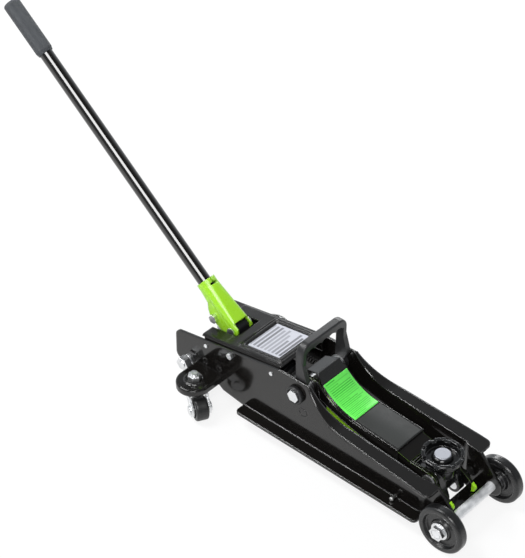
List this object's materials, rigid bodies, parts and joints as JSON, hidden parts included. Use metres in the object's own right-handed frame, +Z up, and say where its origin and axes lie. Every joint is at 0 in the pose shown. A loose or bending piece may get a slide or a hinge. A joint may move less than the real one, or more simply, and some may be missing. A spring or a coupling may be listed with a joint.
{
  "type": "trolley jack",
  "caption": "Low-profile hydraulic trolley jack: wheeled channel chassis, hinged lift arm with level swivel saddle, ram and pump unit, rear castors, carry bail and tube pump handle.",
  "frame": {"origin": "middle of the overall box, on the floor under the wheels", "axes": "+X towards the saddle and front wheels, +Z up, +Y to the jack's left seen from behind the handle"},
  "size_m": [0.8088, 0.1988, 0.4198],
  "materials": {
    "black_paint": "gloss black powder coat",
    "green_paint": "gloss lime green enamel",
    "satin_black": "satin black enamel",
    "dark_paint": "semi-gloss black enamel",
    "zinc_plate": "bright zinc plate",
    "spring_steel": "oiled spring steel",
    "cast_block": "painted casting",
    "black_nylon": "moulded nylon",
    "grey_plastic": "fine-grained moulding",
    "grip_plastic": "soft matt sleeve",
    "bare_label": "blank satin sheet"
  },
  "bodies": {
    "chassis": {"arm_bushes": "zinc_plate", "arm_shaft": "zinc_plate", "axle_collars": "zinc_plate", "axle_nuts": "zinc_plate", "carry_bolts": "zinc_plate", "carry_handle": "grey_plastic", "castor_bearings": "zinc_plate", "castor_bracket_left": "black_paint", "castor_bracket_right": "black_paint", "castor_nuts": "zinc_plate", "castor_studs": "zinc_plate", "cover_screws": "zinc_plate", "filler_plug": "zinc_plate", "front_axle": "zinc_plate", "front_tie_plate": "black_paint", "link_studs": "black_paint", "oil_reservoir": "dark_paint", "plunger_spring": "spring_steel", "pump_block": "cast_block", "pump_bolts": "black_paint", "ram_cylinder": "zinc_plate", "ram_gland": "dark_paint", "rating_plate": "bare_label", "rear_cover": "black_paint", "rear_tie_rod": "zinc_plate", "return_spring_left": "spring_steel", "return_spring_right": "spring_steel", "side_plate_left": "black_paint", "side_plate_right": "black_paint", "socket_hinge_pin": "zinc_plate", "tie_rod_nuts": "zinc_plate"},
    "front_wheel_left": {"front_wheel_left": "satin_black"},
    "front_wheel_right": {"front_wheel_right": "satin_black"},
    "castor_left": {"castor_fork_left": "zinc_plate", "castor_pin_left": "zinc_plate"},
    "castor_right": {"castor_fork_right": "zinc_plate", "castor_pin_right": "zinc_plate"},
    "castor_wheel_left": {"castor_wheel_left": "black_nylon"},
    "castor_wheel_right": {"castor_wheel_right": "black_nylon"},
    "lift_arm": {"lift_arm": "green_paint", "arm_cover": "black_paint", "ram_roller_pin": "zinc_plate", "saddle_pin": "zinc_plate"},
    "ram_roller": {"ram_roller": "zinc_plate"},
    "saddle_bracket": {"saddle_bracket": "satin_black", "link_pins": "zinc_plate"},
    "saddle": {"saddle": "satin_black", "saddle_screw": "zinc_plate"},
    "level_link_left": {"level_link_left": "satin_black"},
    "level_link_right": {"level_link_right": "satin_black"},
    "ram": {"ram_piston": "zinc_plate", "ram_crosshead": "zinc_plate"},
    "pump_plunger": {"pump_plunger": "zinc_plate"},
    "handle_socket": {"handle_socket": "green_paint", "pump_roller_bolt": "zinc_plate"},
    "pump_roller": {"pump_roller": "zinc_plate"},
    "handle": {"handle_tube": "black_paint", "handle_grip": "grip_plastic", "handle_stud": "zinc_plate"},
    "release_valve": {"release_valve": "zinc_plate"}
  },
  "joints": [
    {"name": "front_wheel_left_spin", "type": "hinge", "parent": "chassis", "child": "front_wheel_left", "pos_m": [0.37238, -0.056, 0.032], "axis": [0, 1, 0], "continuous": true},
    {"name": "front_wheel_right_spin", "type": "hinge", "parent": "chassis", "child": "front_wheel_right", "pos_m": [0.37238, 0.056, 0.032], "axis": [0, 1, 0], "continuous": true},
    {"name": "castor_left_swivel", "type": "hinge", "parent": "chassis", "child": "castor_left", "pos_m": [-0.01263, -0.0735, 0.0395], "axis": [0, 0, 1], "continuous": true},
    {"name": "castor_right_swivel", "type": "hinge", "parent": "chassis", "child": "castor_right", "pos_m": [-0.01263, 0.0735, 0.0395], "axis": [0, 0, 1], "continuous": true},
    {"name": "castor_wheel_left_spin", "type": "hinge", "parent": "castor_left", "child": "castor_wheel_left", "pos_m": [0.00592, -0.08336, 0.016], "axis": [0.4695, 0.8829, 0], "continuous": true},
    {"name": "castor_wheel_right_spin", "type": "hinge", "parent": "castor_right", "child": "castor_wheel_right", "pos_m": [0.00592, 0.08336, 0.016], "axis": [-0.4695, 0.8829, 0], "continuous": true},
    {"name": "lift", "type": "hinge", "parent": "chassis", "child": "lift_arm", "pos_m": [0.13387, 0, 0.092], "axis": [0, -1, 0], "range_deg": [0, 75]},
    {"name": "saddle_level", "type": "hinge", "parent": "lift_arm", "child": "saddle_bracket", "pos_m": [0.32538, 0, 0.055], "axis": [0, -1, 0], "range_deg": [-75, 0]},
    {"name": "link_left_swing", "type": "hinge", "parent": "chassis", "child": "level_link_left", "pos_m": [0.1455, -0.031, 0.06875], "axis": [0, -1, 0], "range_deg": [0, 75]},
    {"name": "link_right_swing", "type": "hinge", "parent": "chassis", "child": "level_link_right", "pos_m": [0.1455, 0.031, 0.06875], "axis": [0, -1, 0], "range_deg": [0, 75]},
    {"name": "saddle_swivel", "type": "hinge", "parent": "saddle_bracket", "child": "saddle", "pos_m": [0.32538, 0, 0.068], "axis": [0, 0, 1], "continuous": true},
    {"name": "ram_roller_spin", "type": "hinge", "parent": "lift_arm", "child": "ram_roller", "pos_m": [0.11074, 0, 0.06185], "axis": [0, 1, 0], "continuous": true},
    {"name": "ram_stroke", "type": "slide", "parent": "chassis", "child": "ram", "axis": [1, 0, 0], "range_m": [0, 0.04647], "deforming": ["return_spring_left", "return_spring_right"]},
    {"name": "pump_stroke", "type": "hinge", "parent": "chassis", "child": "handle_socket", "pos_m": [-0.00213, 0, 0.095], "axis": [0, 1, 0], "range_deg": [-20, 20]},
    {"name": "plunger_stroke", "type": "slide", "parent": "chassis", "child": "pump_plunger", "axis": [0, 0, 1], "range_m": [-0.0106, 0.0106], "deforming": ["plunger_spring"]},
    {"name": "pump_roller_spin", "type": "hinge", "parent": "handle_socket", "child": "pump_roller", "pos_m": [-0.03157, 0, 0.10165], "axis": [0, 1, 0], "continuous": true},
    {"name": "handle_twist", "type": "hinge", "parent": "handle_socket", "child": "handle", "pos_m": [-0.00561, 0, 0.09074], "axis": [-0.7738, 0, 0.6334], "range_deg": [-14, 14]},
    {"name": "release_turn", "type": "hinge", "parent": "chassis", "child": "release_valve", "pos_m": [-0.03712, 0.017, 0.032], "axis": [-1, 0, 0], "range_deg": [0, 270]}
  ],
  "couplings": [
    {"joint": "saddle_level", "follows": "lift", "ratio": -1},
    {"joint": "link_left_swing", "follows": "lift", "ratio": 1},
    {"joint": "link_right_swing", "follows": "lift", "ratio": 1},
    {"joint": "ram_stroke", "follows": "lift", "m_per_rad": 0.035345},
    {"joint": "plunger_stroke", "follows": "pump_stroke", "m_per_rad": 0.02885}
  ]
}
